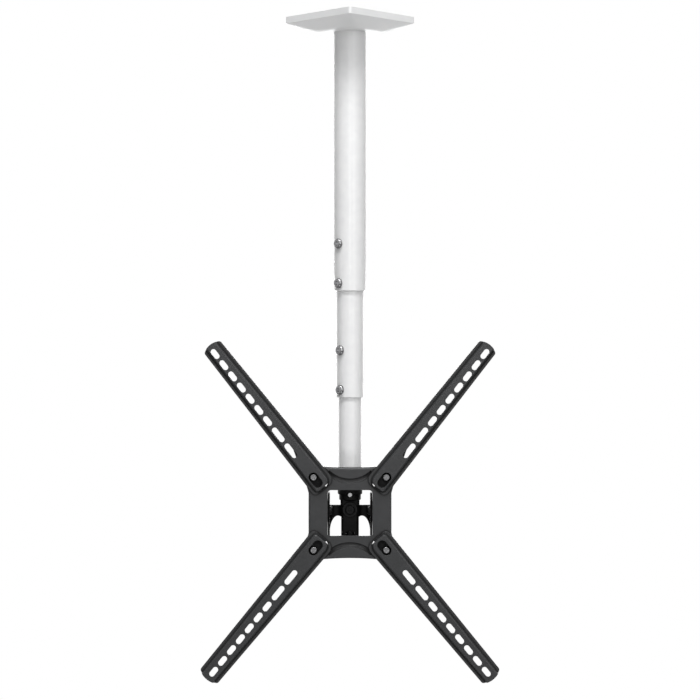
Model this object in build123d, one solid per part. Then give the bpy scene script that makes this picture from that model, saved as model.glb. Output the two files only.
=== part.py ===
from build123d import *
import math
import os

# A television mount that hangs from a ceiling: a square plate under a sliding cover, three
# telescoping tubes, a head that swivels and levels, a tilting hub plate and four slotted arms.
# Millimetres and degrees. +Z is up, the origin is the middle of the ceiling plate's top face,
# the screen hangs on the -Y side and X runs along the screen.

# Ceiling plate and the cover that slides over it
PLATE_SIDE = 110.0
PLATE_THICK = 4.0
PLATE_CORNER = 8.0
PLATE_HOLE = 9.0
PLATE_PITCH = 80.0
PLATE_TURN = 45.0
COVER_SIDE = 127.5
COVER_WALL = 2.0
COVER_RIM = 8.8
COVER_DEPTH = 21.6
COVER_FLAT = 76.0
COVER_FLAT_CORNER = 22.0
COVER_BEND = 20.0
COVER_CORNER = 3.5
COVER_COLLAR = 8.0
COVER_GAP = 0.4

# Telescoping tubes, each standing a drop below the one it slides in
UPPER_OD = 44.2
UPPER_WALL = 2.5
UPPER_LENGTH = 377.0
MID_WALL = 2.1
MID_LENGTH = 350.0
MID_DROP = 147.6
LOWER_WALL = 2.0
LOWER_LENGTH = 350.0
LOWER_DROP = 121.4
TUBE_GAP = 0.7
TUBE_BEVEL = 0.6
GLIDE_LENGTH = 20.0
GLIDE_LIP = 2.0

# Clearances
FIT = 0.05
RUN = 0.1
TIP_GAP = 0.3

# Button-head screws: height, top, socket and cross recess as shares of the head's diameter,
# upright edge, bulge of the dome and recess depth as shares of its height
HEAD_HEIGHT = 0.31
HEAD_TOP = 0.7
SOCKET_WIDTH = 0.36
CROSS_LENGTH = 0.62
CROSS_WIDTH = 0.16
HEAD_EDGE = 0.12
HEAD_BULGE = 0.14
SOCKET_DEPTH = 0.6
M8 = 8.0
M8_HEAD = 14.0
M6 = 6.0
M6_HEAD = 11.0
M4 = 4.0
M4_HEAD = 7.4
NUT_WIDTH = 1.65
NUT_HEIGHT = 0.8
NUT_BEVEL = 30.0
THREAD_OUT = 2.0

# Lock screws on the tubes, turned to the left of the front
LOCK_TURN = 45.0
LOCK_FROM_END = 10.5
LOCK_SPACING = 54.8

# Plug in the lower tube's end and the washer that the head turns on
PLUG_LENGTH = 32.0
PLUG_FLANGE = 2.0
PIN_OD = 5.0
PIN_ABOVE_END = 16.0
SPIGOT_OD = 18.0
SPIGOT_LENGTH = 17.0
GROOVE_WIDTH = 5.0
GROOVE_DEPTH = 1.2
THRUST_THICK = 1.5

# Swivel head: round collar and neck, then a flat stem in front of the bracket
COLLAR_OVER = 1.0
COLLAR_HEIGHT = 9.5
NECK_OD = 30.2
NECK_HEIGHT = 8.0
STEP_ROUND = 1.0
SHOULDER_WIDTH = 26.4
SHOULDER_HEIGHT = 7.3
STEM_WIDTH = 24.5
STEM_LENGTH = 58.0
STEM_FRONT = 12.0
STEM_THICK = 10.0
STEM_BEVEL = 3.0
STEM_END_ROUND = 5.0
BORE_SPARE = 0.5
SEAT_DEPTH = 1.0
LEVEL_BELOW_TOP = 30.5
LEVEL_LOCK_BELOW = 33.0
LEVEL_RANGE = 4.0
LEVEL_SLOT_SPARE = 2.0

# Washers on the level bolt
WASHER_THICK = 1.6
LEVEL_WASHER_OD = 20.0
FRICTION_OD = 24.0
FRICTION_THICK = 1.0
M6_WASHER_OD = 12.0

# Tilt bracket, a folded U whose side plates stand inside the hub's ears
BRACKET_SHEET = 2.8
BRACKET_BEND = 4.0
BAR_ABOVE = 6.0
BAR_BELOW = 9.0
ARCH_WIDTH = 22.4
ARCH_RISE = 22.0
SIDE_ABOVE = 24.0
SIDE_BELOW = 38.0
SIDE_NOSE = 8.0
SIDE_SLOPE_TOP = 14.0
SIDE_SLOPE_FOOT = 22.0
SIDE_ROUND = 4.0
TILT_DOWN = 15.0
TILT_UP = 5.0
TILT_BEHIND_HUB = 12.0
TILT_LOCK_RADIUS = 17.0

# Hub plate, a shallow pressed tray
HUB_FRONT = 40.0
HUB_BELOW_LEVEL = 3.0
HUB_WIDTH = 113.9
HUB_SIDE = 54.8
HUB_HEIGHT = 127.3
HUB_RISE = 0.85
HUB_TOP_WIDTH = 72.0
HUB_DIP = 1.5
HUB_LOBE = 12.5
HUB_DEPTH = 12.0
HUB_SHEET = 2.5
HUB_BEND = 3.0
WINDOW_WIDTH = 61.4
WINDOW_HEIGHT = 62.5
WINDOW_TOP_ROUND = 5.0
WINDOW_FOOT_ROUND = 1.5
EAR_GAP = 0.05
EAR_ROOT = 36.0
EAR_END = 7.5
GROOVE_CENTRE = 87.6
GROOVE_INNER = 40.6
GROOVE_OUTER = 47.4
GROOVE_SINK = 2.6
GROOVE_SPAN = 88.0

# Arms, pressed channels that turn on the hub's four screws
ARM_SQUARE = 100.0
ARM_HEIGHT = 8.5
ARM_SHEET = 2.5
ARM_FLANGE = 3.4
ARM_DRAFT = 18.0
ARM_EDGE_ROUND = 2.0
ARM_ROOT = 19.2
ARM_ROOT_INNER_ROUND = 11.0
ARM_ROOT_OUTER_ROUND = 6.0
ARM_TIP_BULGE = 4.5
ARM_TIP_ROUND = 4.0
ARM_TIP_MARGIN = 14.2
SHORT_SLOT = 15.0
SHORT_SLOTS = 7
LONG_SLOT = 23.2
SLOT_WIDTH = 7.5
LONG_PITCH = 27.7
LONG_TO_SHORT = 23.8
FIRST_SLOT = 47.8
POCKET_WIDTH = 13.4
POCKET_FLOOR = 2.0
KEYHOLE = 11.6
KEYHOLE_STEP = 9.6
TAB_THICK = 2.0
TAB_WIDTH = 4.0
TAB_OFF = 7.8
TAB_BEYOND = 1.0
TAB_SET_BACK = 0.6
TOOTH_WIDTH = 3.6
TOOTH_LENGTH = 11.0
TOOTH_THICK = 2.0
GUIDE_CLEARANCE = 0.4
ARM_FLATTER = 20.0
ARM_STEEPER = 7.0

# The upper and the lower arms are two pressings. Edges are measured from the line through the screw
# along the arm: inner is the side towards the pole's line, outer the side towards the horizontal.
UPPER_ARM = {
    "angle": 52.0,
    "root_inner": 19.9,
    "tip_inner": 14.3,
    "root_outer": 14.9,
    "tip_outer": 13.6,
    "row_outer": 2.0,
    "short_pitch": 19.4,
    "toothed": True,
}
LOWER_ARM = {
    "angle": 50.7,
    "root_inner": 18.9,
    "tip_inner": 13.8,
    "root_outer": 18.3,
    "tip_outer": 16.8,
    "row_outer": 0.6,
    "short_pitch": 19.2,
    "toothed": False,
}

# Heights and radii that follow from the sizes above
UPPER_ID = UPPER_OD - 2 * UPPER_WALL
MID_OD = UPPER_ID - 2 * TUBE_GAP
MID_ID = MID_OD - 2 * MID_WALL
LOWER_OD = MID_ID - 2 * TUBE_GAP
LOWER_ID = LOWER_OD - 2 * LOWER_WALL
COLLAR_OD = LOWER_OD + 2 * COLLAR_OVER

UPPER_END_Z = -PLATE_THICK - UPPER_LENGTH
MID_END_Z = UPPER_END_Z - MID_DROP
LOWER_END_Z = MID_END_Z - LOWER_DROP
HEAD_TOP_Z = LOWER_END_Z - PLUG_FLANGE - THRUST_THICK
NECK_TOP_Z = HEAD_TOP_Z - COLLAR_HEIGHT
NECK_END_Z = NECK_TOP_Z - NECK_HEIGHT
LEVEL_Z = HEAD_TOP_Z - LEVEL_BELOW_TOP
HUB_Z = LEVEL_Z - HUB_BELOW_LEVEL

STEM_BACK_Y = STEM_THICK - STEM_FRONT
WEB_FRONT_Y = STEM_BACK_Y + FRICTION_THICK
WEB_BACK_Y = WEB_FRONT_Y + BRACKET_SHEET
TILT_Y = TILT_BEHIND_HUB - HUB_FRONT
SIDE_OUTER_X = WINDOW_WIDTH / 2 - EAR_GAP
SIDE_INNER_X = SIDE_OUTER_X - BRACKET_SHEET

# The hub's own frame: x along the screen, y up, z out of its front face
HUB_FRAME = Plane(origin=(0, -HUB_FRONT, HUB_Z), x_dir=(1, 0, 0), z_dir=(0, -1, 0))


def cylinder_between(radius, low, high):
    """A round bar on the Z axis from one height to another."""
    return Pos(0, 0, (low + high) / 2) * Cylinder(radius, high - low)


def ring(outer, inner, low, high):
    """A ring on the Z axis, given by its diameters and its two heights."""
    return cylinder_between(outer / 2, low, high) - cylinder_between(inner / 2, low, high)


def hex_socket(head):
    """Outline of a hexagon socket."""
    return RegularPolygon(SOCKET_WIDTH * head / 2, 6, major_radius=False)


def cross_recess(head):
    """Outline of a cross recess."""
    long = CROSS_LENGTH * head
    short = CROSS_WIDTH * head
    return Rectangle(long, short) + Rectangle(short, long)


def button_screw(head, shank, length, recess):
    """A screw with a domed head above z = 0, a recess in it and its shank below."""
    height = HEAD_HEIGHT * head
    bulge = HEAD_BULGE * height
    edge = (head / 2, HEAD_EDGE * height)
    top = (HEAD_TOP * head / 2, height)
    crown = ((edge[0] + top[0]) / 2 + bulge, (edge[1] + top[1]) / 2 + bulge)
    profile = make_face([
        Line((0, -length), (shank / 2, -length)),
        Line((shank / 2, -length), (shank / 2, 0)),
        Line((shank / 2, 0), (head / 2, 0)),
        Line((head / 2, 0), edge),
        ThreePointArc(edge, crown, top),
        Line(top, (0, height)),
        Line((0, height), (0, -length)),
    ])
    body = revolve(Plane.XZ * profile, axis=Axis.Z)
    return body - Pos(0, 0, height - SOCKET_DEPTH * height) * extrude(recess(head), height)


def hex_nut(thread):
    """A hexagon nut that stands on z = 0, its corners bevelled at both ends."""
    width = NUT_WIDTH * thread
    height = NUT_HEIGHT * thread
    blank = extrude(RegularPolygon(width / 2, 6, major_radius=False), height)
    flat = width / 2
    corner = width
    drop = (corner - flat) * math.tan(math.radians(NUT_BEVEL))
    profile = make_face(Polyline((0, 0), (flat, 0), (corner, drop), (corner, height - drop), (flat, height),
                                 (0, height), close=True))
    blank &= revolve(Plane.XZ * profile, axis=Axis.Z)
    return blank - Cylinder(thread / 2 + FIT, 3 * thread)


def washer(outer, thread, thick):
    """A flat washer that stands on z = 0."""
    return ring(outer, thread + 2 * FIT, 0, thick)


def ceiling_plate():
    """Square steel plate with four screw holes, a corner towards the front."""
    blank = extrude(RectangleRounded(PLATE_SIDE, PLATE_SIDE, PLATE_CORNER), -PLATE_THICK)
    holes = GridLocations(PLATE_PITCH, PLATE_PITCH, 2, 2) * Cylinder(PLATE_HOLE / 2, 3 * PLATE_THICK)
    return Rot(0, 0, PLATE_TURN) * (blank - holes)


def dished_block(side, corner, rim, flat, depth, bend):
    """A square block with a shallow hipped underside that bends softly into a flat, hanging below z = 0."""
    edge = RectangleRounded(side, side, corner)
    foot = RectangleRounded(flat, flat, COVER_FLAT_CORNER)
    block = extrude(edge, -rim)
    block += loft([Pos(0, 0, -rim) * edge, Pos(0, 0, -depth) * foot], ruled=True)
    return fillet(block.edges().group_by(Axis.Z)[0], bend)


def ceiling_cover():
    """Moulded shell that hides the ceiling plate, with a collar that guides it on the tube."""
    hole = UPPER_OD + 2 * COVER_GAP
    outside = dished_block(COVER_SIDE, COVER_CORNER, COVER_RIM, COVER_FLAT, COVER_DEPTH, COVER_BEND)
    inside = dished_block(COVER_SIDE - 2 * COVER_WALL, COVER_CORNER - COVER_WALL / 2, COVER_RIM - COVER_WALL / 2,
                          COVER_FLAT - COVER_WALL / 2, COVER_DEPTH - COVER_WALL, COVER_BEND - COVER_WALL)
    collar_top = COVER_COLLAR - COVER_DEPTH
    collar = cylinder_between(hole / 2 + COVER_WALL, COVER_WALL / 2 - COVER_DEPTH, collar_top)
    shell = (outside - inside) + (collar & outside)
    return Rot(0, 0, PLATE_TURN) * (shell - cylinder_between(hole / 2, -2 * COVER_DEPTH, COVER_DEPTH))


def lock_frames(tube_od, end_z):
    """The two frames on a tube's surface in which its lock screws stand, z out along the screw."""
    turn = math.radians(LOCK_TURN)
    out = Vector(-math.sin(turn), -math.cos(turn), 0)
    heights = (end_z + LOCK_FROM_END, end_z + LOCK_FROM_END + LOCK_SPACING)
    return [Plane(origin=out * (tube_od / 2) + Vector(0, 0, z), x_dir=(0, 0, 1), z_dir=out) for z in heights]


def plain_tube(outer, wall, low, length):
    """A tube with its outer edges bevelled."""
    tube = ring(outer, outer - 2 * wall, low, low + length)
    ends = tube.edges().filter_by(GeomType.CIRCLE).group_by(lambda edge: edge.radius)[-1]
    return chamfer(ends, TUBE_BEVEL)


def locked_tube(outer, wall, low, length):
    """A tube with two threaded holes for its lock screws."""
    tube = plain_tube(outer, wall, low, length)
    for frame in lock_frames(outer, low):
        tube -= frame * Cylinder(M8 / 2 + FIT, 4 * wall)
    return tube


def lock_screws(tube_od, wall, end_z):
    """Two screws that press on the tube inside, drawn just short of it."""
    screw = button_screw(M8_HEAD, M8, RUN + wall + TUBE_GAP - TIP_GAP, hex_socket)
    return Compound([frame * Pos(0, 0, RUN) * screw for frame in lock_frames(tube_od, end_z)])


def tube_glide(tube_od, tube_id, outer_id, top_z):
    """Thin nylon sleeve round a tube's top end, with a lip over its edge."""
    sleeve = ring(outer_id - 2 * RUN, tube_od + 2 * FIT, top_z - GLIDE_LENGTH, top_z)
    lip = ring(outer_id - 2 * RUN, tube_id, top_z, top_z + GLIDE_LIP)
    return sleeve + lip


def plug_pin_frame():
    """The cross pin's frame, z along the pin."""
    return Plane(origin=(0, 0, LOWER_END_Z + PIN_ABOVE_END), x_dir=(0, 1, 0), z_dir=(1, 0, 0))


def lower_tube():
    """The innermost tube, drilled across for the plug's pin."""
    tube = plain_tube(LOWER_OD, LOWER_WALL, LOWER_END_Z, LOWER_LENGTH)
    return tube - plug_pin_frame() * Cylinder(PIN_OD / 2 + FIT, 2 * LOWER_OD)


def swivel_screw_z():
    """Height of the screw that locks the swivel, level with the spigot's groove."""
    return NECK_TOP_Z


def end_plug():
    """Steel plug in the lower tube, with a flange under its end and a grooved spigot to swivel on."""
    flange_end = LOWER_END_Z - PLUG_FLANGE
    plug = cylinder_between(LOWER_ID / 2 - FIT, LOWER_END_Z, LOWER_END_Z + PLUG_LENGTH)
    plug += cylinder_between(LOWER_OD / 2, flange_end, LOWER_END_Z)
    plug += cylinder_between(SPIGOT_OD / 2, flange_end - SPIGOT_LENGTH, flange_end)
    low = swivel_screw_z() - GROOVE_WIDTH / 2
    plug -= ring(2 * SPIGOT_OD, SPIGOT_OD - 2 * GROOVE_DEPTH, low, low + GROOVE_WIDTH)
    return plug - plug_pin_frame() * Cylinder(PIN_OD / 2 + FIT, 2 * LOWER_OD)


def plug_pin():
    """Cross pin, flush with the tube."""
    return plug_pin_frame() * Cylinder(PIN_OD / 2, LOWER_OD - 2 * RUN)


def swivel_washer():
    """Nylon ring that the head turns on."""
    return ring(LOWER_OD, SPIGOT_OD + 2 * RUN, HEAD_TOP_Z, HEAD_TOP_Z + THRUST_THICK)


def bevelled_bar(width, low, high):
    """A stretch of the stem: a flat bar with bevelled front edges."""
    section = Rectangle(width, STEM_THICK)
    front = section.vertices().group_by(Axis.Y)[0]
    section = Pos(0, STEM_BACK_Y - STEM_THICK / 2, low) * chamfer(front, STEM_BEVEL)
    return extrude(section, high - low)


def level_lock_z():
    """Height of the screw at the stem's foot that locks the level."""
    return LEVEL_Z - LEVEL_LOCK_BELOW


def swivel_head():
    """Cast head: a stepped round socket for the spigot and a flat stem that carries the bracket."""
    collar_r = COLLAR_OD / 2
    neck_r = NECK_OD / 2
    r = STEP_ROUND
    profile = Polyline(
        (0, HEAD_TOP_Z), (collar_r - r, HEAD_TOP_Z), (collar_r, HEAD_TOP_Z - r), (collar_r, NECK_TOP_Z + r),
        (collar_r - r, NECK_TOP_Z), (neck_r, NECK_TOP_Z), (neck_r, NECK_END_Z + r), (neck_r - r, NECK_END_Z),
        (0, NECK_END_Z), close=True)
    head = revolve(Plane.XZ * make_face(profile), axis=Axis.Z)
    shoulder_end = NECK_END_Z - SHOULDER_HEIGHT
    head += bevelled_bar(SHOULDER_WIDTH, shoulder_end, NECK_END_Z + r)
    stem = bevelled_bar(STEM_WIDTH, NECK_END_Z - STEM_LENGTH, NECK_END_Z + r)
    foot = stem.edges().filter_by(Axis.Y).group_by(Axis.Z)[0]
    head += fillet(foot, STEM_END_ROUND)
    spigot_end = LOWER_END_Z - PLUG_FLANGE - SPIGOT_LENGTH
    head -= cylinder_between(SPIGOT_OD / 2 + RUN, spigot_end - BORE_SPARE, HEAD_TOP_Z + BORE_SPARE)
    front = Plane(origin=(0, 0, swivel_screw_z()), x_dir=(1, 0, 0), z_dir=(0, -1, 0))
    head -= front * cylinder_between(M4 / 2 + FIT, 0, COLLAR_OD)
    head -= front * cylinder_between(M4_HEAD / 2 + 2 * RUN, neck_r - SEAT_DEPTH, COLLAR_OD)
    level = Plane(origin=(0, 0, LEVEL_Z), x_dir=(1, 0, 0), z_dir=(0, -1, 0))
    head -= level * Cylinder(M8 / 2 + FIT, 4 * STEM_FRONT)
    swing = LEVEL_RANGE + LEVEL_SLOT_SPARE
    path = CenterArc((0, 0), LEVEL_LOCK_BELOW, 270 - swing, 2 * swing)
    return head - level * extrude(SlotArc(path, M4 + 4 * RUN), 2 * STEM_FRONT, both=True)


def swivel_lock_screw():
    """Screw in the head's front that reaches into the spigot's groove."""
    seat = NECK_OD / 2 - SEAT_DEPTH
    groove = SPIGOT_OD / 2 - GROOVE_DEPTH
    frame = Plane(origin=(0, -seat, swivel_screw_z()), x_dir=(1, 0, 0), z_dir=(0, -1, 0))
    return frame * button_screw(M4_HEAD, M4, seat - groove - TIP_GAP, cross_recess)


def on_level_axis(shape, y):
    """Stands a shape on the level bolt's axis at a depth, pointing to the front."""
    return Plane(origin=(0, y, LEVEL_Z), x_dir=(1, 0, 0), z_dir=(0, -1, 0)) * shape


def level_bolt():
    """Bolt through washer, stem, bracket and nut."""
    head_y = -STEM_FRONT - WASHER_THICK
    end_y = WEB_BACK_Y + WASHER_THICK + NUT_HEIGHT * M8 + THREAD_OUT
    return on_level_axis(button_screw(M8_HEAD, M8, end_y - head_y, hex_socket), head_y)


def level_lock_screw():
    """Screw through the stem's arc slot into the bracket's middle leg."""
    length = WEB_BACK_Y + STEM_FRONT
    frame = Plane(origin=(0, -STEM_FRONT - RUN, level_lock_z()), x_dir=(1, 0, 0), z_dir=(0, -1, 0))
    return frame * button_screw(M4_HEAD, M4, length, hex_socket)


def tilt_slot_path():
    """Arc along which the lock bolts run in the side plates, about the tilt axis."""
    return CenterArc((TILT_Y, LEVEL_Z), TILT_LOCK_RADIUS, -TILT_UP, TILT_UP + TILT_DOWN)


def side_profile():
    """Outline of the bracket's side plates, seen from the side, open past its back."""
    back = WEB_BACK_Y + BRACKET_SHEET
    nose = TILT_Y - SIDE_NOSE
    top = LEVEL_Z + SIDE_ABOVE
    foot = LEVEL_Z - SIDE_BELOW
    points = [
        (back, top), (nose + SIDE_SLOPE_TOP, top), (nose, LEVEL_Z + SIDE_NOSE),
        (nose, LEVEL_Z - SIDE_NOSE), (nose + SIDE_SLOPE_FOOT, foot), (back, foot),
    ]
    face = make_face(Polyline(*points, close=True))
    return fillet(face.vertices().sort_by(Axis.X)[:-2], SIDE_ROUND)


def tilt_bracket():
    """Folded bracket: side plates, a bar across them and a middle leg behind the stem."""
    depth = WEB_BACK_Y - TILT_Y + 2 * SIDE_NOSE
    height = 2 * (SIDE_ABOVE + SIDE_BELOW)
    outer = Rectangle(2 * SIDE_OUTER_X, depth)
    outer = Pos(0, WEB_BACK_Y - depth / 2) * fillet(outer.vertices().group_by(Axis.Y)[-1], BRACKET_BEND)
    inner = Rectangle(2 * SIDE_INNER_X, depth)
    inner = fillet(inner.vertices().group_by(Axis.Y)[-1], BRACKET_BEND - BRACKET_SHEET)
    inner = Pos(0, WEB_FRONT_Y - depth / 2) * inner
    bracket = Pos(0, 0, LEVEL_Z) * extrude(outer - inner, height / 2, both=True)
    bracket &= extrude(Plane.YZ * side_profile(), 2 * SIDE_OUTER_X, both=True)
    web = 4 * BRACKET_SHEET
    bracket -= Pos(0, WEB_BACK_Y, LEVEL_Z + BAR_ABOVE + height / 2) * Box(2 * SIDE_INNER_X, web, height)
    arch_z = LEVEL_Z - BAR_BELOW - ARCH_RISE
    arch = Pos(0, arch_z) * Ellipse(ARCH_WIDTH / 2, ARCH_RISE)
    arch += Pos(0, arch_z - height / 2) * Rectangle(ARCH_WIDTH, height)
    arch_x = SIDE_INNER_X - ARCH_WIDTH / 2
    for x in (-arch_x, arch_x):
        bracket -= Pos(x, WEB_BACK_Y, 0) * extrude(Plane.XZ * arch, web / 2, both=True)
    bracket -= on_level_axis(Cylinder(M8 / 2 + RUN, web), WEB_BACK_Y)
    bracket -= Pos(0, WEB_BACK_Y, level_lock_z()) * Rot(90, 0, 0) * Cylinder(M4 / 2 + FIT, web)
    across = 2 * SIDE_OUTER_X
    bracket -= Pos(0, TILT_Y, LEVEL_Z) * Rot(0, 90, 0) * Cylinder(M6 / 2 + RUN, 2 * across)
    slot = SlotArc(tilt_slot_path(), M6 + 4 * RUN)
    return bracket - extrude(Plane.YZ * slot, across, both=True)


def tilt_frames():
    """Frames of the four tilt bolts, z pointing from the ear to the pole's middle."""
    frames = []
    for y in (TILT_Y, TILT_Y + TILT_LOCK_RADIUS):
        for side in (-1, 1):
            seat = (side * SIDE_INNER_X, y, LEVEL_Z)
            frames.append(Plane(origin=seat, x_dir=(0, 0, 1), z_dir=(-side, 0, 0)))
    return frames


def tilt_stack():
    """Distance from a tilt bolt's seat to the outside of the hub's ear."""
    return BRACKET_SHEET + EAR_GAP + HUB_SHEET


def tilt_bolts():
    """Two pivots and two lock bolts, heads inside the side plates."""
    length = tilt_stack() + WASHER_THICK + NUT_HEIGHT * M6 + THREAD_OUT
    bolt = button_screw(M6_HEAD, M6, length, hex_socket)
    return Compound([frame * bolt for frame in tilt_frames()])


def tilt_washers():
    """Washers on the outside of the ears."""
    low = -tilt_stack() - WASHER_THICK
    disc = Pos(0, 0, low) * washer(M6_WASHER_OD, M6, WASHER_THICK)
    return Compound([frame * disc for frame in tilt_frames()])


def tilt_nuts():
    """Nuts on the outside of the ears."""
    low = -tilt_stack() - WASHER_THICK - NUT_HEIGHT * M6
    return Compound([frame * Pos(0, 0, low) * hex_nut(M6) for frame in tilt_frames()])


def quarters(shape):
    """The four mirror images of a shape about the hub's middle, upper right first."""
    left = mirror(shape, about=Plane.YZ)
    return [shape, left, mirror(shape, about=Plane.XZ), mirror(left, about=Plane.XZ)]


def hub_outline():
    """Outline of the hub plate: waisted sides, slightly hollow top and foot, a lobe at each screw."""
    half_w = HUB_WIDTH / 2
    half_h = HUB_HEIGHT / 2
    side = HUB_SIDE / 2
    top = HUB_TOP_WIDTH / 2
    middle = half_h - HUB_DIP
    body = make_face([
        ThreePointArc((-top, half_h), (0, middle), (top, half_h)),
        Line((top, half_h), (half_w, side)),
        Line((half_w, side), (half_w, -side)),
        Line((half_w, -side), (top, -half_h)),
        ThreePointArc((top, -half_h), (0, -middle), (-top, -half_h)),
        Line((-top, -half_h), (-half_w, -side)),
        Line((-half_w, -side), (-half_w, side)),
        Line((-half_w, side), (-top, half_h)),
    ])
    lobe = (Pos(ARM_SQUARE / 2, ARM_SQUARE / 2) * Rot(0, 0, 225) * Circle(HUB_LOBE)).edges()
    corner = Line((top, half_h), (half_w, side))
    upper = make_hull(lobe + [Pos(0, HUB_RISE) * corner])
    lower = mirror(make_hull(lobe + [Pos(0, -HUB_RISE) * corner]), about=Plane.XZ)
    return Pos(0, HUB_RISE) * body + [upper, mirror(upper, about=Plane.YZ), lower, mirror(lower, about=Plane.YZ)]


def hub_window():
    """The window, with rounder corners at its top."""
    window = Pos(0, HUB_RISE) * Rectangle(WINDOW_WIDTH, WINDOW_HEIGHT)
    window = fillet(window.vertices().group_by(Axis.Y)[-1], WINDOW_TOP_ROUND)
    return fillet(window.vertices().group_by(Axis.Y)[0], WINDOW_FOOT_ROUND)


def pressed_arc(inner, outer, top, foot):
    """A ring segment with a round foot, in the hub's frame, below its upper edge."""
    profile = make_face([
        Line((outer, top), (inner, top)),
        ThreePointArc((inner, top), ((inner + outer) / 2, foot), (outer, top)),
    ])
    segment = revolve(Plane.XZ * profile, axis=Axis.Z, revolution_arc=GROOVE_SPAN)
    return Pos(0, GROOVE_CENTRE, 0) * Rot(0, 0, 270 - GROOVE_SPAN / 2) * segment


def hub_ear():
    """Ear folded back from the window's right edge, drilled for the tilt bolts."""
    rise = HUB_BELOW_LEVEL
    lock_depth = TILT_LOCK_RADIUS + TILT_BEHIND_HUB
    root = EAR_ROOT / 2
    plan = make_face(Polyline(
        (rise + root, -HUB_SHEET / 2), (rise - root, -HUB_SHEET / 2),
        (rise - EAR_END, -lock_depth), (rise + EAR_END, -lock_depth), close=True))
    plan += Pos(rise, -lock_depth) * Circle(EAR_END)
    for depth in (TILT_BEHIND_HUB, lock_depth):
        plan -= Pos(rise, -depth) * Circle(M6 / 2 + FIT)
    return Pos(WINDOW_WIDTH / 2, 0, 0) * extrude(Plane.YZ * plan, HUB_SHEET)


def guide_slot(angle):
    """Arc slot in the hub for the upper right arm's tab, about that arm's screw."""
    near = ARM_ROOT - TAB_SET_BACK - TAB_THICK
    far = ARM_ROOT - TAB_SET_BACK
    edge = TAB_OFF - TAB_WIDTH / 2
    first = math.degrees(math.atan2(edge, far)) - ARM_STEEPER
    last = math.degrees(math.atan2(edge + TAB_WIDTH, near)) + ARM_FLATTER
    low = math.hypot(near, edge)
    high = math.hypot(far, edge + TAB_WIDTH)
    path = CenterArc((0, 0), (low + high) / 2, 180 + angle - last, last - first)
    slot = SlotArc(path, high - low + 2 * GUIDE_CLEARANCE)
    half = ARM_SQUARE / 2
    return Pos(half, half, 0) * extrude(slot, 2 * HUB_SHEET, both=True)


def hub_plate():
    """Pressed plate: folded rim, window with two ears, two arc grooves, arm holes and guide slots."""
    outline = hub_outline()
    tray = extrude(outline, -HUB_DEPTH)
    tray = fillet(tray.faces().sort_by(Axis.Z)[-1].outer_wire().edges(), HUB_BEND)
    plate = tray - Pos(0, 0, -HUB_SHEET) * extrude(offset(outline, -HUB_SHEET), -HUB_DEPTH)
    bulge = pressed_arc(GROOVE_INNER - HUB_SHEET, GROOVE_OUTER + HUB_SHEET, -HUB_SHEET / 2,
                        -HUB_SHEET - GROOVE_SINK)
    groove = pressed_arc(GROOVE_INNER, GROOVE_OUTER, 0, -GROOVE_SINK)
    raised = Pos(0, HUB_RISE, 0)
    plate += [raised * bulge, raised * mirror(bulge, about=Plane.XZ)]
    plate -= [raised * groove, raised * mirror(groove, about=Plane.XZ)]
    plate -= extrude(hub_window(), 4 * HUB_SHEET, both=True)
    ear = hub_ear()
    plate += [ear, mirror(ear, about=Plane.YZ)]
    plate -= GridLocations(ARM_SQUARE, ARM_SQUARE, 2, 2) * Cylinder(M6 / 2 + FIT, 4 * HUB_SHEET)
    upper = quarters(guide_slot(UPPER_ARM["angle"]))[:2]
    lower = quarters(guide_slot(LOWER_ARM["angle"]))[2:]
    return HUB_FRAME * (plate - (upper + lower))


def at_arm_screws(shape):
    """Copies of a shape at the hub's four arm screws."""
    places = GridLocations(ARM_SQUARE, ARM_SQUARE, 2, 2)
    return Compound([HUB_FRAME * place * shape for place in places])


def arm_screws():
    """Screws that clamp the arms, heads on the floors of the arms' pockets."""
    length = POCKET_FLOOR + HUB_SHEET + NUT_HEIGHT * M6 + THREAD_OUT
    return at_arm_screws(Pos(0, 0, POCKET_FLOOR) * button_screw(M6_HEAD, M6, length, cross_recess))


def arm_nuts():
    """Nuts behind the hub plate."""
    return at_arm_screws(Pos(0, 0, -HUB_SHEET - NUT_HEIGHT * M6) * hex_nut(M6))


def arm_slots(form):
    """Centres and lengths of an arm's slots, from the screw outwards."""
    long_slots = [(FIRST_SLOT, LONG_SLOT), (FIRST_SLOT + LONG_PITCH, LONG_SLOT)]
    start = FIRST_SLOT + LONG_PITCH + LONG_TO_SHORT
    return long_slots + [(start + i * form["short_pitch"], SHORT_SLOT) for i in range(SHORT_SLOTS)]


def arm_reach(form):
    """Distance from the screw to the arm's tip."""
    return arm_slots(form)[-1][0] + ARM_TIP_MARGIN


def arm_lean():
    """How far a wall of an arm leans outwards over the arm's height."""
    return ARM_HEIGHT * math.tan(math.radians(ARM_DRAFT))


def arm_edges(form, x, inset=0.0):
    """The two long edges of an arm at a distance from its screw, drawn in by an inset."""
    share = (x + ARM_ROOT) / (arm_reach(form) + ARM_ROOT)
    inner = form["root_inner"] + share * (form["tip_inner"] - form["root_inner"])
    outer = form["root_outer"] + share * (form["tip_outer"] - form["root_outer"])
    return inner - inset, inset - outer


def rounded_root(plan):
    """Rounds the two corners at an arm's root, the one towards the pole more."""
    inner = plan.vertices().group_by(Axis.X)[0].sort_by(Axis.Y)[-1]
    plan = fillet(inner, ARM_ROOT_INNER_ROUND)
    outer = plan.vertices().group_by(Axis.X)[0].sort_by(Axis.Y)[0]
    return fillet(outer, ARM_ROOT_OUTER_ROUND)


def raised_outline(form):
    """Foot of an arm's raised part, running on past the tip."""
    root = -ARM_ROOT - arm_lean()
    tip = arm_reach(form) + 2 * ARM_HEIGHT
    root_inner, root_outer = arm_edges(form, root, ARM_FLANGE)
    tip_inner, tip_outer = arm_edges(form, tip, ARM_FLANGE)
    return rounded_root(make_face(Polyline(
        (root, root_inner), (root, root_outer), (tip, tip_outer), (tip, tip_inner), close=True)))


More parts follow.
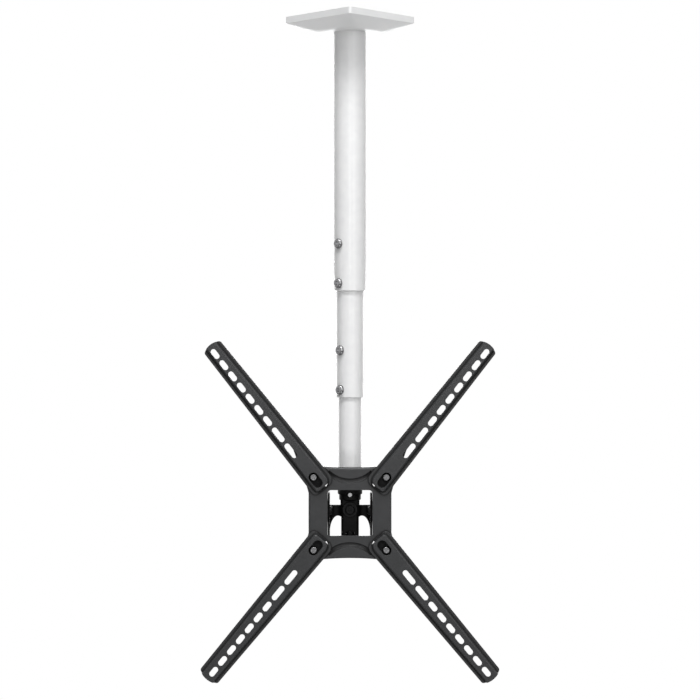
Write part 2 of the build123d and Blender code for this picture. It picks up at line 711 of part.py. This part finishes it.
def arm_outline(form):
    """An arm's whole outline, with its bulging tip."""
    root = -ARM_ROOT - arm_lean()
    reach = arm_reach(form)
    corner = reach - ARM_TIP_BULGE
    root_inner, root_outer = arm_edges(form, root)
    tip_inner, tip_outer = arm_edges(form, corner)
    plan = make_face([
        Line((root, root_inner), (root, root_outer)),
        Line((root, root_outer), (corner, tip_outer)),
        ThreePointArc((corner, tip_outer), (reach, (tip_inner + tip_outer) / 2), (corner, tip_inner)),
        Line((corner, tip_inner), (root, root_inner)),
    ])
    plan = fillet(plan.vertices().group_by(Axis.X)[-1], ARM_TIP_ROUND)
    return rounded_root(plan)


def slot_tooth(form):
    """Tooth behind the pole's side of an arm's first slot, widest near the slot's root."""
    edge = SLOT_WIDTH / 2 - form["row_outer"]
    root = FIRST_SLOT - LONG_SLOT / 2
    plan = make_face(Polyline(
        (root, edge + TOOTH_THICK), (root, edge - TOOTH_WIDTH), (root + TOOTH_LENGTH, edge),
        (root + TOOTH_LENGTH, edge + TOOTH_THICK), close=True))
    under = ARM_HEIGHT - ARM_SHEET
    return Pos(0, 0, under - TOOTH_THICK / 2) * extrude(plan, TOOTH_THICK)


def arm(form):
    """The upper right arm before it is turned: a flanged channel with slots, a keyhole pocket and a tab."""
    raised_plan = raised_outline(form)
    wall = ARM_SHEET / math.cos(math.radians(ARM_DRAFT))
    raised = extrude(raised_plan, ARM_HEIGHT, taper=ARM_DRAFT)
    front_edges = raised.faces().sort_by(Axis.Z)[-1].edges().sort_by(Axis.X)[:-1]
    raised = fillet(front_edges, ARM_EDGE_ROUND)
    hollow = extrude(offset(raised_plan, -wall), ARM_HEIGHT - ARM_SHEET, taper=ARM_DRAFT)
    outline = arm_outline(form)
    slot_line = Pos(-KEYHOLE_STEP / 2, 0)
    pocket = slot_line * SlotCenterToCenter(KEYHOLE_STEP, POCKET_WIDTH)
    boss = extrude(offset(pocket, POCKET_FLOOR), ARM_HEIGHT - ARM_SHEET / 2)
    channel = extrude(outline, ARM_SHEET) + (raised & extrude(outline, ARM_HEIGHT))
    channel = (channel - hollow) + boss
    channel -= Pos(0, 0, POCKET_FLOOR) * extrude(pocket, ARM_HEIGHT)
    keyhole = slot_line * SlotCenterToCenter(KEYHOLE_STEP, M6 + 2 * RUN)
    keyhole += Pos(-KEYHOLE_STEP, 0) * Circle(KEYHOLE / 2)
    channel -= extrude(keyhole, 2 * POCKET_FLOOR, both=True)
    for centre, length in arm_slots(form):
        slot = Pos(centre, -form["row_outer"]) * SlotOverall(length, SLOT_WIDTH)
        channel -= extrude(slot, 2 * ARM_HEIGHT)
    if form["toothed"]:
        channel += slot_tooth(form)
    tab_top = ARM_HEIGHT - ARM_SHEET / 2
    tab_height = tab_top + HUB_SHEET + TAB_BEYOND
    tab_end = TAB_SET_BACK - ARM_ROOT
    notch = TAB_WIDTH + 2 * GUIDE_CLEARANCE
    channel -= Pos(tab_end - ARM_ROOT / 2, TAB_OFF, 0) * Box(ARM_ROOT, notch, 3 * ARM_HEIGHT)
    tab_place = Pos(tab_end + TAB_THICK / 2, TAB_OFF, tab_top - tab_height / 2)
    return channel + tab_place * Box(TAB_THICK, TAB_WIDTH, tab_height)


def placed_arm(form, right, upper):
    """An arm turned to its rest angle at its own screw."""
    half = ARM_SQUARE / 2
    turned = Pos(half, half, 0) * Rot(0, 0, form["angle"]) * arm(form)
    copies = quarters(turned)
    return HUB_FRAME * copies[(0 if right else 1) + (0 if upper else 2)]


NODES = {
    "ceiling_plate": ceiling_plate(),
    "ceiling_cover": ceiling_cover(),
    "upper_tube": locked_tube(UPPER_OD, UPPER_WALL, UPPER_END_Z, UPPER_LENGTH),
    "upper_lock_screws": lock_screws(UPPER_OD, UPPER_WALL, UPPER_END_Z),
    "mid_tube": locked_tube(MID_OD, MID_WALL, MID_END_Z, MID_LENGTH),
    "mid_tube_glide": tube_glide(MID_OD, MID_ID, UPPER_ID, MID_END_Z + MID_LENGTH),
    "mid_lock_screws": lock_screws(MID_OD, MID_WALL, MID_END_Z),
    "lower_tube": lower_tube(),
    "lower_tube_glide": tube_glide(LOWER_OD, LOWER_ID, MID_ID, LOWER_END_Z + LOWER_LENGTH),
    "end_plug": end_plug(),
    "plug_pin": plug_pin(),
    "swivel_washer": swivel_washer(),
    "swivel_head": swivel_head(),
    "swivel_lock_screw": swivel_lock_screw(),
    "level_bolt": level_bolt(),
    "level_washer": on_level_axis(washer(LEVEL_WASHER_OD, M8, WASHER_THICK), -STEM_FRONT),
    "level_friction_washer": on_level_axis(washer(FRICTION_OD, M8, FRICTION_THICK), WEB_FRONT_Y),
    "level_back_washer": on_level_axis(washer(LEVEL_WASHER_OD, M8, WASHER_THICK), WEB_BACK_Y + WASHER_THICK),
    "level_nut": on_level_axis(hex_nut(M8), WEB_BACK_Y + WASHER_THICK + NUT_HEIGHT * M8),
    "tilt_bracket": tilt_bracket(),
    "level_lock_screw": level_lock_screw(),
    "hub_plate": hub_plate(),
    "tilt_bolts": tilt_bolts(),
    "tilt_washers": tilt_washers(),
    "tilt_nuts": tilt_nuts(),
    "arm_screws": arm_screws(),
    "arm_nuts": arm_nuts(),
    "arm_upper_left": placed_arm(UPPER_ARM, right=False, upper=True),
    "arm_upper_right": placed_arm(UPPER_ARM, right=True, upper=True),
    "arm_lower_left": placed_arm(LOWER_ARM, right=False, upper=False),
    "arm_lower_right": placed_arm(LOWER_ARM, right=True, upper=False),
}

os.makedirs("parts", exist_ok=True)
for name, shape in NODES.items():
    export_step(shape, f"parts/{name}.step")
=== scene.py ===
"""Looks, light and camera for a ceiling mount with a telescoping pole and a slotted screen bracket.

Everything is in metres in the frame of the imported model: +Z up, origin at the middle of the ceiling
plate's top face, -Y towards the viewer.
"""

import math

import bmesh
import bpy
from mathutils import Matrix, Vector


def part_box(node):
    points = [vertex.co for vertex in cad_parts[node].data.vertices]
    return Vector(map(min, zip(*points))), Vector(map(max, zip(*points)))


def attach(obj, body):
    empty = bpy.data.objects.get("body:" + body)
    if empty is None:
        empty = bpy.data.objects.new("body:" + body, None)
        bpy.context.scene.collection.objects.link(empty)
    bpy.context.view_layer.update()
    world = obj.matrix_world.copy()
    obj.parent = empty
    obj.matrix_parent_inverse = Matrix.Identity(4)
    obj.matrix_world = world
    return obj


# Camera: level, facing +Y, as far away as the cover's corner-on outline asks for
IMAGE_SIDE = 700
FOCAL_PIXELS = 2050.0
SENSOR_MM = 36.0
CAMERA_DISTANCE = 2.85
CAMERA_HEIGHT = -0.4628

# Floor of the room that the part hangs in, small enough to stay out of the level camera's view, and
# its glow to the camera alone
FLOOR_Z = -2.4
FLOOR_RADIUS = 8.0
FLOOR_SIDES = 96
FLOOR_COLOUR = (0.8, 0.8, 0.8)
FLOOR_ROUGHNESS = 0.8
FLOOR_GLOW = 0.7

# Light, and what the lamps look at
AMBIENT = 0.05
WHITE = (1.0, 1.0, 1.0)
POLE = Vector((0.0, 0.0, -0.45))
COVER = Vector((0.0, 0.0, -0.02))

# Soft boxes: name, place, width, height, watts, what it looks at, and colour
LAMPS = (
    ("key_strip", (0.0, -1.3, 2.3), 3.0, 0.4, 88.0, POLE, WHITE),
    ("front_strip", (0.03, -3.0, 1.35), 0.6, 1.8, 24.0, POLE, (0.975, 0.985, 1.0)),
    ("right_box", (1.7, -2.9, 0.3), 1.0, 2.4, 18.0, POLE, (1.0, 1.0, 0.98)),
    ("low_box", (0.0, -1.8, -2.0), 1.2, 0.8, 8.5, COVER, WHITE),
    ("up_box", (0.0, 0.62, -0.55), 1.6, 0.6, 3.2, COVER, WHITE),
    ("streak_strip", (0.0, -3.0, -0.16), 0.26, 0.9, 5.4, POLE, WHITE),
    ("back_box", (0.0, 3.0, -0.2), 1.2, 2.0, 38.0, POLE, WHITE),
)

# Stretch of a noise that holds most of its values
NOISE_LOW = 0.3
NOISE_HIGH = 0.7

# Powder paint: waves to the metre of its tone, gloss, orange peel and grain, and the depth of the
# last two
TONE_WAVES = 90.0
GLOSS_WAVES = 420.0
PEEL_WAVES = 620.0
PEEL_DEPTH = 0.00012
GRAIN_WAVES = 3600.0
GRAIN_DEPTH = 0.00004

# Dark paints: rounding of their edges, how far the ambient occlusion of a fold reaches, the stretch of
# openness over which it fades,
#  and the painted shade that darkens their colour in recesses, and how dull they lie there
EDGE_ROUND = 0.0006
RECESS_REACH = 0.009
RECESS_CLOSED = 0.68
RECESS_OPEN = 0.98
PAINTED_RECESS_SHADE = 0.08
RECESS_ROUGHNESS = 0.9

# Mouldings: waves to the metre of their tone, gloss and grain, and the grain's depth and strength
MOULD_TONE_WAVES = 25.0
MOULD_GLOSS_WAVES = 260.0
MOULD_GRAIN_WAVES = 2400.0
MOULD_GRAIN_DEPTH = 0.00004
MOULD_GRAIN = 0.25

# Plated steel: the same for its tool grain, and its specular level where it isn't a bare metal
STEEL_TONE_WAVES = 700.0
STEEL_GLOSS_WAVES = 1500.0
STEEL_GRAIN_WAVES = 5200.0
STEEL_GRAIN_DEPTH = 0.00002
STEEL_GRAIN = 0.2
STEEL_SPECULAR = 0.12

# Screw threads that stand out of the nuts: ridge height and half its breadth as shares of the pitch
THREAD_OUT = 0.002
RIDGE_HEIGHT = 0.3
RIDGE_BREADTH = 0.32
TURN_STEPS = 28
M6_RADIUS = 0.003
M6_PITCH = 0.001
M8_RADIUS = 0.004
M8_PITCH = 0.00125

# Ring of weld between the ceiling plate and the upper tube. The profile is in shares of the leg,
# out from the tube and down from the plate
WELD_LEG = 0.0032
WELD_PROFILE = ((0, 0), (1, 0), (0.72, 0.4), (0.4, 0.72), (0, 1))
WELD_SINK = 0.0004
WELD_RIPPLES = 64
WELD_SWELL = 0.1
WELD_STEPS = 512


def new_material(name):
    """A material with a Principled shader, and its tree and shader for further nodes."""
    material = bpy.data.materials.new(name)
    material.use_nodes = True
    tree = material.node_tree
    return material, tree, tree.nodes["Principled BSDF"]


def noise(tree, per_metre, detail):
    """A noise texture in the object's own space, with so many waves to the metre."""
    place = tree.nodes.new("ShaderNodeTexCoord")
    texture = tree.nodes.new("ShaderNodeTexNoise")
    texture.inputs["Scale"].default_value = per_metre
    texture.inputs["Detail"].default_value = detail
    tree.links.new(place.outputs["Object"], texture.inputs["Vector"])
    return texture.outputs["Fac"]


def spread(tree, value, low, high, start=NOISE_LOW, end=NOISE_HIGH):
    """Maps the useful middle of a noise, or another stretch, to a range."""
    span = tree.nodes.new("ShaderNodeMapRange")
    span.inputs["From Min"].default_value = start
    span.inputs["From Max"].default_value = end
    span.inputs["To Min"].default_value = low
    span.inputs["To Max"].default_value = high
    tree.links.new(value, span.inputs["Value"])
    return span.outputs["Result"]


def blend_colours(tree, value, dark, light):
    """Runs from one colour to another with a noise."""
    ramp = tree.nodes.new("ShaderNodeValToRGB")
    ramp.color_ramp.elements[0].position = NOISE_LOW
    ramp.color_ramp.elements[0].color = (*dark, 1.0)
    ramp.color_ramp.elements[1].position = NOISE_HIGH
    ramp.color_ramp.elements[1].color = (*light, 1.0)
    tree.links.new(value, ramp.inputs["Fac"])
    return ramp.outputs["Color"]


def bump(tree, height, distance, strength, under=None):
    """A bump from a height, laid over another one if given."""
    node = tree.nodes.new("ShaderNodeBump")
    node.inputs["Distance"].default_value = distance
    node.inputs["Strength"].default_value = strength
    tree.links.new(height, node.inputs["Height"])
    if under is not None:
        tree.links.new(under, node.inputs["Normal"])
    return node.outputs["Normal"]


def painted_shade_mask(tree, deep, open_air):
    """The mask of painted shade from the piece's ambient occlusion: it runs from one end in the recesses
    to the other on the open faces.
    """
    shade_occlusion = tree.nodes.new("ShaderNodeAmbientOcclusion")
    shade_occlusion.inputs["Distance"].default_value = RECESS_REACH
    return spread(tree, shade_occlusion.outputs["AO"], deep, open_air, RECESS_CLOSED, RECESS_OPEN)


def scaled(tree, colour, share):
    """A colour times a value."""
    node = tree.nodes.new("ShaderNodeVectorMath")
    node.operation = "SCALE"
    tree.links.new(colour, node.inputs["Vector"])
    tree.links.new(share, node.inputs["Scale"])
    return node.outputs["Vector"]


def larger(tree, first, second):
    """The larger of two values."""
    node = tree.nodes.new("ShaderNodeMath")
    node.operation = "MAXIMUM"
    tree.links.new(first, node.inputs[0])
    tree.links.new(second, node.inputs[1])
    return node.outputs[0]


def rounded_edges(tree):
    """The surface's normal with its sharp edges softened by the paint's own thickness."""
    node = tree.nodes.new("ShaderNodeBevel")
    node.inputs["Radius"].default_value = EDGE_ROUND
    return node.outputs["Normal"]


def powder_coat(name, dark, light, roughness, peel, grain, specular=0.5, paint_shade_in_recesses=False):
    """Baked powder paint: an orange-peel skin with a finer grain, and if asked painted shade in its
    recesses, where it is also duller.
    """
    material, tree, shader = new_material(name)
    shader.inputs["Specular IOR Level"].default_value = specular
    colour = blend_colours(tree, noise(tree, TONE_WAVES, 3.0), dark, light)
    gloss = spread(tree, noise(tree, GLOSS_WAVES, 3.0), *roughness)
    edges = None
    if paint_shade_in_recesses:
        # Painted shade: the colour is darkened where the ambient occlusion finds recesses and folds
        colour = scaled(tree, colour, painted_shade_mask(tree, PAINTED_RECESS_SHADE, 1.0))
        gloss = larger(tree, gloss, painted_shade_mask(tree, RECESS_ROUGHNESS, 0.0))
        edges = rounded_edges(tree)
    tree.links.new(colour, shader.inputs["Base Color"])
    tree.links.new(gloss, shader.inputs["Roughness"])
    skin = bump(tree, noise(tree, PEEL_WAVES, 2.0), PEEL_DEPTH, peel, edges)
    skin = bump(tree, noise(tree, GRAIN_WAVES, 2.0), GRAIN_DEPTH, grain, skin)
    tree.links.new(skin, shader.inputs["Normal"])
    return material


def moulded_plastic(name, dark, light, roughness):
    """Moulded plastic with a faint spark-eroded grain."""
    material, tree, shader = new_material(name)
    colour = blend_colours(tree, noise(tree, MOULD_TONE_WAVES, 2.0), dark, light)
    gloss = spread(tree, noise(tree, MOULD_GLOSS_WAVES, 4.0), *roughness)
    skin = bump(tree, noise(tree, MOULD_GRAIN_WAVES, 3.0), MOULD_GRAIN_DEPTH, MOULD_GRAIN)
    tree.links.new(colour, shader.inputs["Base Color"])
    tree.links.new(gloss, shader.inputs["Roughness"])
    tree.links.new(skin, shader.inputs["Normal"])
    return material


def plated_steel(name, dark, light, roughness, metallic=1.0):
    """Plated steel with a little tool grain."""
    material, tree, shader = new_material(name)
    shader.inputs["Metallic"].default_value = metallic
    shader.inputs["Specular IOR Level"].default_value = STEEL_SPECULAR
    colour = blend_colours(tree, noise(tree, STEEL_TONE_WAVES, 4.0), dark, light)
    gloss = spread(tree, noise(tree, STEEL_GLOSS_WAVES, 3.0), *roughness)
    skin = bump(tree, noise(tree, STEEL_GRAIN_WAVES, 2.0), STEEL_GRAIN_DEPTH, STEEL_GRAIN)
    tree.links.new(colour, shader.inputs["Base Color"])
    tree.links.new(gloss, shader.inputs["Roughness"])
    tree.links.new(skin, shader.inputs["Normal"])
    return material


def dress(material, *names):
    """Gives CAD nodes a material."""
    for name in names:
        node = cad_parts[name]
        node.data.materials.clear()
        node.data.materials.append(material)


def swept(name, sections, closed):
    """A solid through rings of points. It closes on itself, or is capped at its two ends."""
    work = bmesh.new()
    rings = [[work.verts.new(point) for point in section] for section in sections]
    pairs = list(zip(rings[:-1], rings[1:]))
    if closed:
        pairs.append((rings[-1], rings[0]))
    else:
        work.faces.new(rings[0])
        work.faces.new(rings[-1])
    for ring, following in pairs:
        for i in range(len(ring)):
            j = (i + 1) % len(ring)
            work.faces.new((ring[i], ring[j], following[j], following[i]))
    bmesh.ops.recalc_face_normals(work, faces=work.faces)
    mesh = bpy.data.meshes.new(name)
    work.to_mesh(mesh)
    work.free()
    return mesh


def add_piece(name, mesh, body, material):
    """Hangs a mesh on a body of the frame."""
    mesh.materials.append(material)
    piece = bpy.data.objects.new(name, mesh)
    bpy.context.collection.objects.link(piece)
    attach(piece, body)


def thread(name, tip, out, radius, pitch, body):
    """The helical ridge on the end of a screw's shank, which points out to the tip."""
    tip = Vector(tip)
    out = Vector(out)
    side = out.orthogonal().normalized()
    up = out.cross(side)
    half = RIDGE_BREADTH * pitch
    steps = round(TURN_STEPS * (THREAD_OUT - 2 * half) / pitch)
    sections = []
    for step in range(steps + 1):
        turn = 2 * math.pi * step / TURN_STEPS
        spoke = side * math.cos(turn) + up * math.sin(turn)
        middle = tip - out * (half + pitch * step / TURN_STEPS)
        root = middle + spoke * (radius - RIDGE_HEIGHT * pitch)
        crest = middle + spoke * (radius + RIDGE_HEIGHT * pitch)
        sections.append([root - out * half, crest, root + out * half])
    add_piece(name, swept(name, sections, False), body, dark_steel)


def make_threads():
    """Threads on the bolts' ends behind and beside their nuts."""
    low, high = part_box("level_bolt")
    tip = ((low.x + high.x) / 2, high.y, (low.z + high.z) / 2)
    thread("level_bolt_thread", tip, (0, 1, 0), M8_RADIUS, M8_PITCH, "head")
    low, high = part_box("tilt_bolts")
    inset = (high.z - low.z) / 2
    for side, x in (("left", low.x), ("right", high.x)):
        for kind, y in (("pivot", low.y + inset), ("lock", high.y - inset)):
            tip = (x, y, low.z + inset)
            out = (math.copysign(1, x), 0, 0)
            thread(f"tilt_{kind}_{side}_thread", tip, out, M6_RADIUS, M6_PITCH, "hub")
    low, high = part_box("arm_screws")
    for side, x in (("left", low.x + inset), ("right", high.x - inset)):
        for level, z in (("lower", low.z + inset), ("upper", high.z - inset)):
            tip = (x, high.y, z)
            thread(f"arm_screw_{level}_{side}_thread", tip, (0, 1, 0), M6_RADIUS, M6_PITCH, "hub")


def make_weld():
    """The rippled fillet of weld that holds the upper tube to the ceiling plate."""
    low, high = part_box("upper_tube")
    radius = (high.x - low.x) / 2 - WELD_SINK
    top = high.z + WELD_SINK
    sections = []
    for step in range(WELD_STEPS):
        turn = 2 * math.pi * step / WELD_STEPS
        ripple = abs(math.sin(turn * WELD_RIPPLES / 2))
        leg = WELD_LEG * (1 - WELD_SWELL + WELD_SWELL * ripple)
        section = []
        for across, down in WELD_PROFILE:
            reach = radius + across * leg
            section.append((reach * math.cos(turn), reach * math.sin(turn), top - down * leg))
        sections.append(section)
    mesh = swept("ceiling_weld", sections, True)
    add_piece("ceiling_weld", mesh, "ceiling", white_paint)


def area_light(name, place, width, height, power, aim, colour):
    """A soft box that looks at a point, unseen by the camera."""
    data = bpy.data.lights.new(name, "AREA")
    data.shape = "RECTANGLE"
    data.size = width
    data.size_y = height
    data.energy = power
    data.color = colour
    lamp = bpy.data.objects.new(name, data)
    lamp.location = place
    lamp.rotation_euler = (aim - Vector(place)).to_track_quat("-Z", "Y").to_euler()
    lamp.visible_camera = False
    bpy.context.collection.objects.link(lamp)


def light_world():
    """White to the camera and to reflections, a plain grey light to everything else."""
    world = bpy.data.worlds.new("studio")
    world.use_nodes = True
    tree = world.node_tree
    tree.nodes.clear()
    path = tree.nodes.new("ShaderNodeLightPath")
    seen = path.outputs["Is Camera Ray"]
    for ray in ("Is Glossy Ray", "Is Transmission Ray"):
        either = tree.nodes.new("ShaderNodeMath")
        either.operation = "MAXIMUM"
        tree.links.new(seen, either.inputs[0])
        tree.links.new(path.outputs[ray], either.inputs[1])
        seen = either.outputs[0]
    mix = tree.nodes.new("ShaderNodeMixShader")
    tree.links.new(seen, mix.inputs["Fac"])
    for socket, strength in ((1, AMBIENT), (2, 1.0)):
        plain = tree.nodes.new("ShaderNodeBackground")
        plain.inputs["Color"].default_value = (*WHITE, 1.0)
        plain.inputs["Strength"].default_value = strength
        tree.links.new(plain.outputs[0], mix.inputs[socket])
    out = tree.nodes.new("ShaderNodeOutputWorld")
    tree.links.new(mix.outputs[0], out.inputs["Surface"])
    bpy.context.scene.world = world


def make_floor():
    """A pale matt floor under the part."""
    work = bmesh.new()
    bmesh.ops.create_circle(work, cap_ends=True, segments=FLOOR_SIDES, radius=FLOOR_RADIUS)
    bmesh.ops.translate(work, verts=work.verts, vec=(0.0, 0.0, FLOOR_Z))
    mesh = bpy.data.meshes.new("floor")
    work.to_mesh(mesh)
    work.free()
    material, tree, shader = new_material("floor_paint")
    shader.inputs["Base Color"].default_value = (*FLOOR_COLOUR, 1.0)
    shader.inputs["Roughness"].default_value = FLOOR_ROUGHNESS
    shader.inputs["Emission Color"].default_value = (*WHITE, 1.0)
    seen = tree.nodes.new("ShaderNodeLightPath").outputs["Is Camera Ray"]
    tree.links.new(spread(tree, seen, 0.0, FLOOR_GLOW, 0.0, 1.0), shader.inputs["Emission Strength"])
    mesh.materials.append(material)
    floor = bpy.data.objects.new("floor", mesh)
    bpy.context.collection.objects.link(floor)


def make_camera():
    """The photograph's camera: level, on the pole's line."""
    data = bpy.data.cameras.new("camera")
    data.sensor_width = SENSOR_MM
    data.lens = SENSOR_MM * FOCAL_PIXELS / IMAGE_SIDE
    camera = bpy.data.objects.new("camera", data)
    camera.location = (0.0, -CAMERA_DISTANCE, CAMERA_HEIGHT)
    camera.rotation_euler = (math.radians(90.0), 0.0, 0.0)
    bpy.context.collection.objects.link(camera)
    bpy.context.scene.camera = camera


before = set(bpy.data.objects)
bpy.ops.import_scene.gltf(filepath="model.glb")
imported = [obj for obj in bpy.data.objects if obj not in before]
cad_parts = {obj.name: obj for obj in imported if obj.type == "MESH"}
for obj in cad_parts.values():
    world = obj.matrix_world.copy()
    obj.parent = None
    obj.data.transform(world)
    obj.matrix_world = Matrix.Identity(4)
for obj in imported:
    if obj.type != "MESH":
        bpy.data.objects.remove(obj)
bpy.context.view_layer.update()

white_paint = powder_coat("white_powder_coat", (0.83, 0.83, 0.835), (0.87, 0.87, 0.87), (0.2, 0.25),
                          peel=0.1, grain=0.03)
white_cover = moulded_plastic("white_moulding", (0.82, 0.825, 0.83), (0.86, 0.86, 0.86), (0.42, 0.52))
charcoal = powder_coat("charcoal_powder_coat", (0.0145, 0.015, 0.016), (0.02, 0.0205, 0.022),
                       (0.32, 0.42), peel=0.2, grain=0.15, specular=0.42, paint_shade_in_recesses=True)
black_paint = powder_coat("black_powder_coat", (0.004, 0.004, 0.004), (0.007, 0.007, 0.007),
                          (0.5, 0.6), peel=0.3, grain=0.2, specular=0.1, paint_shade_in_recesses=True)
bright_steel = plated_steel("bright_zinc", (0.3, 0.3, 0.305), (0.4, 0.4, 0.4), (0.2, 0.34))
grey_steel = plated_steel("grey_zinc", (0.15, 0.15, 0.153), (0.2, 0.2, 0.204), (0.1, 0.18))
lock_steel = plated_steel("polished_zinc", (0.2, 0.2, 0.204), (0.27, 0.27, 0.275), (0.1, 0.16))
dark_steel = plated_steel("black_zinc", (0.04, 0.04, 0.041), (0.06, 0.06, 0.0615), (0.14, 0.24))
black_steel = plated_steel("black_oxide", (0.004, 0.004, 0.0041), (0.009, 0.009, 0.0092), (0.36, 0.48),
                           metallic=0.0)
nylon = moulded_plastic("natural_nylon", (0.72, 0.71, 0.67), (0.78, 0.77, 0.73), (0.5, 0.6))

ARMS = ("arm_upper_left", "arm_upper_right", "arm_lower_left", "arm_lower_right")
dress(white_paint, "ceiling_plate", "upper_tube", "mid_tube", "lower_tube")
dress(white_cover, "ceiling_cover")
dress(charcoal, "hub_plate", *ARMS)
dress(black_paint, "swivel_head", "tilt_bracket")
dress(nylon, "mid_tube_glide", "lower_tube_glide", "swivel_washer", "level_friction_washer")
dress(bright_steel, "end_plug", "plug_pin", "swivel_lock_screw")
dress(grey_steel, "arm_screws", "arm_nuts")
dress(lock_steel, "upper_lock_screws", "mid_lock_screws")
dress(black_steel, "level_bolt", "level_washer", "level_back_washer", "level_nut", "level_lock_screw")
dress(black_steel, "tilt_bolts", "tilt_washers", "tilt_nuts")

make_threads()
make_weld()

light_world()
make_floor()
for lamp_values in LAMPS:
    area_light(*lamp_values)
make_camera()

bpy.context.scene.view_settings.view_transform = "Standard"
